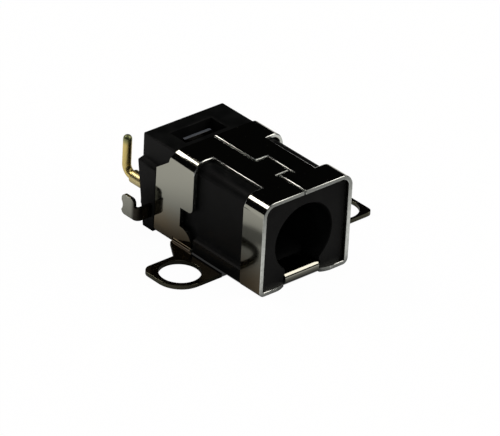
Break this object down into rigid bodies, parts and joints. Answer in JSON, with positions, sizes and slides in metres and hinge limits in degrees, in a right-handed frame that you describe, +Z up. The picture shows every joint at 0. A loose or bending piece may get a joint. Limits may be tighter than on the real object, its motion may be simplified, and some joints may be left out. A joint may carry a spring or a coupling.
{
  "type": "dc barrel jack",
  "caption": "Shielded barrel power jack with a folded sheet sleeve, two screw ears, a moulded body, a centre pin and solder tails.",
  "frame": {"origin": "on the mounting plane, straight below the mouth's axis and level with the two screw holes", "axes": "+X to the right of the jack seen from above with the mouth towards the viewer, +Y from the mouth to the rear, +Z up from the mounting plane"},
  "size_m": [0.0202, 0.0173, 0.008],
  "materials": {
    "housing": "moulded, satin",
    "shell": "bright nickel plate",
    "centre_pin": "bright",
    "sleeve_contact": "nickel plate, satin"
  },
  "bodies": {
    "root": {"housing": "housing", "shell": "shell", "centre_pin": "centre_pin", "sleeve_contact": "sleeve_contact"}
  },
  "joints": []
}
